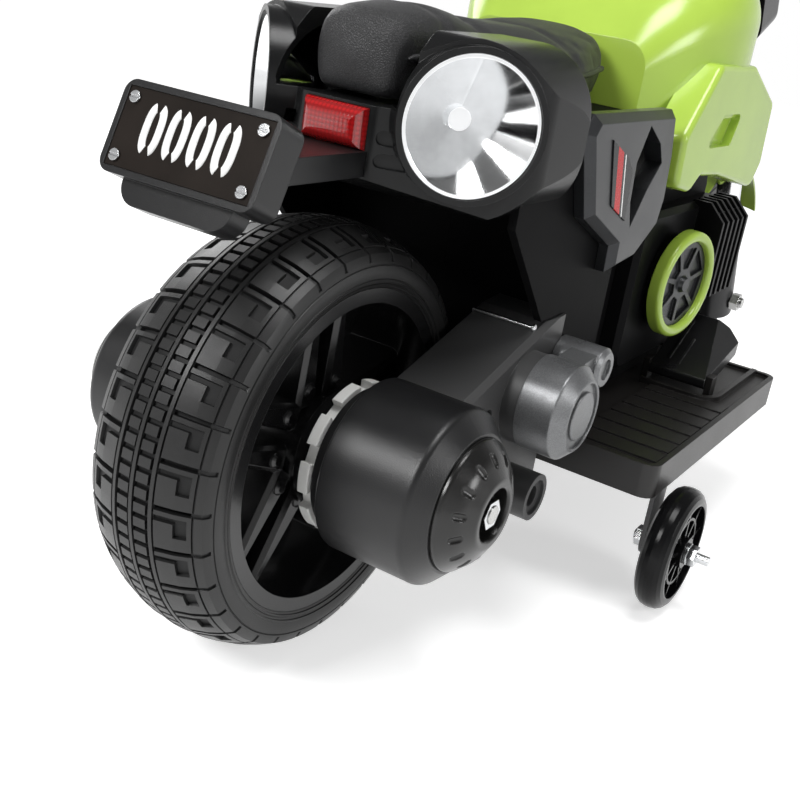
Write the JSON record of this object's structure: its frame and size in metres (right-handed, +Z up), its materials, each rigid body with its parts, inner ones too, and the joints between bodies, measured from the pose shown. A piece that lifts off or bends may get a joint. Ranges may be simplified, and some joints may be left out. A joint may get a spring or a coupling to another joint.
{
  "type": "kids electric motorbike",
  "caption": "Child's electric ride-on motorbike: spoked wheels with treaded tyres, rear hub drive, foot accelerator, raked steering fork, padded seat and side training wheels.",
  "frame": {"origin": "on the ground, midway between the two wheel axles, on the middle plane", "axes": "+X forward, +Y to the rider's left, +Z up"},
  "size_m": [1.02, 0.5218, 0.6956],
  "materials": {
    "tyre": "matt moulded rubber-like plastic",
    "black_plastic": "satin moulded",
    "dark_grey_plastic": "satin moulded",
    "grey_plastic": "metallic grey moulded",
    "lime_plastic": "gloss moulded",
    "white_plastic": "natural moulded",
    "grip_rubber": "matt",
    "chrome": "bright plated",
    "steel": "plain turned",
    "black_metal": "satin black painted",
    "red_lens": "clear red",
    "red_insert": "gloss",
    "clear_lens": "clear plastic",
    "tinted_screen": "smoke tinted plastic",
    "seat_vinyl": "grained vinyl"
  },
  "bodies": {
    "chassis": {"battery": "black_plastic", "body_shell_left": "black_plastic", "body_shell_right": "black_plastic", "charge_socket": "black_plastic", "clutch_discs": "grey_plastic", "clutch_rings": "lime_plastic", "control_box": "black_plastic", "dash_panel": "black_plastic", "drive_motors": "steel", "engine_block_left": "black_plastic", "engine_block_right": "black_plastic", "exhaust_tips": "chrome", "footboard": "black_plastic", "gearbox_left": "white_plastic", "gearbox_right": "white_plastic", "motor_cap_left": "black_plastic", "motor_cap_right": "black_plastic", "motor_housing_left": "black_plastic", "motor_housing_right": "black_plastic", "number_plate": "black_plastic", "pedal_switch": "black_plastic", "pivot_cover_left": "grey_plastic", "pivot_cover_right": "grey_plastic", "plate_holder": "black_plastic", "plate_screws": "chrome", "rear_axle": "steel", "rear_axle_nuts": "chrome", "seat": "seat_vinyl", "side_inserts": "red_insert", "side_panel_left": "grey_plastic", "side_panel_right": "grey_plastic", "swingarm_left": "black_plastic", "swingarm_right": "black_plastic", "tail_cowl": "dark_grey_plastic", "tail_lamp": "red_lens", "tank_cover": "lime_plastic", "training_bolts": "chrome", "training_bracket_left": "black_metal", "training_bracket_right": "black_metal"},
    "rear_wheel": {"rear_tyre": "tyre", "rear_rim": "black_plastic"},
    "steering": {"steering_stem": "steel", "fork_legs": "chrome", "front_axle": "steel", "front_mudguard": "lime_plastic", "handlebar": "black_metal", "grips": "grip_rubber", "headlamp": "black_plastic", "headlamp_lens": "clear_lens", "windscreen": "tinted_screen"},
    "front_wheel": {"front_tyre": "tyre", "front_rim": "black_plastic"},
    "training_left": {"training_wheel_left": "black_plastic"},
    "training_right": {"training_wheel_right": "black_plastic"},
    "pedal": {"accelerator_pedal": "black_plastic"},
    "power_rocker": {"power_switch": "black_plastic"},
    "direction_rocker": {"direction_switch": "black_plastic"},
    "horn": {"horn_button": "red_lens"},
    "left_mirror": {"mirror_left": "black_plastic"},
    "right_mirror": {"mirror_right": "black_plastic"}
  },
  "joints": [
    {"name": "rear_wheel_spin", "type": "hinge", "parent": "chassis", "child": "rear_wheel", "pos_m": [-0.36, 0, 0.15], "axis": [0, 1, 0], "continuous": true},
    {"name": "steering_turn", "type": "hinge", "parent": "chassis", "child": "steering", "pos_m": [0.2106, 0, 0.4119], "axis": [-0.4067, 0, 0.9135], "range_deg": [-30, 30]},
    {"name": "front_wheel_spin", "type": "hinge", "parent": "steering", "child": "front_wheel", "pos_m": [0.36, 0, 0.15], "axis": [0, 1, 0], "continuous": true},
    {"name": "training_wheel_spin_left", "type": "hinge", "parent": "chassis", "child": "training_left", "pos_m": [-0.108, 0.211, 0.052], "axis": [0, 1, 0], "continuous": true},
    {"name": "training_wheel_spin_right", "type": "hinge", "parent": "chassis", "child": "training_right", "pos_m": [-0.108, -0.211, 0.052], "axis": [0, 1, 0], "continuous": true},
    {"name": "pedal_press", "type": "hinge", "parent": "chassis", "child": "pedal", "pos_m": [0.068, -0.1325, 0.138], "axis": [0, 1, 0], "range_deg": [0, 8], "stiffness_Nm_per_rad": 3, "springref_deg": -4.01},
    {"name": "power_rock", "type": "hinge", "parent": "chassis", "child": "power_rocker", "pos_m": [0.0502, 0.024, 0.5047], "axis": [0, 1, 0], "range_deg": [-8, 8]},
    {"name": "direction_rock", "type": "hinge", "parent": "chassis", "child": "direction_rocker", "pos_m": [0.0502, -0.024, 0.5047], "axis": [0, 1, 0], "range_deg": [-8, 8]},
    {"name": "horn_press", "type": "slide", "parent": "chassis", "child": "horn", "axis": [0, 0, -1], "range_m": [0, 0.0015], "stiffness_N_per_m": 400, "springref_m": -0.002},
    {"name": "mirror_turn_left", "type": "hinge", "parent": "steering", "child": "left_mirror", "pos_m": [0.2106, 0.058, 0.4119], "axis": [-0.4067, 0, 0.9135], "range_deg": [-20, 20]},
    {"name": "mirror_turn_right", "type": "hinge", "parent": "steering", "child": "right_mirror", "pos_m": [0.2106, -0.058, 0.4119], "axis": [-0.4067, 0, 0.9135], "range_deg": [-20, 20]}
  ]
}
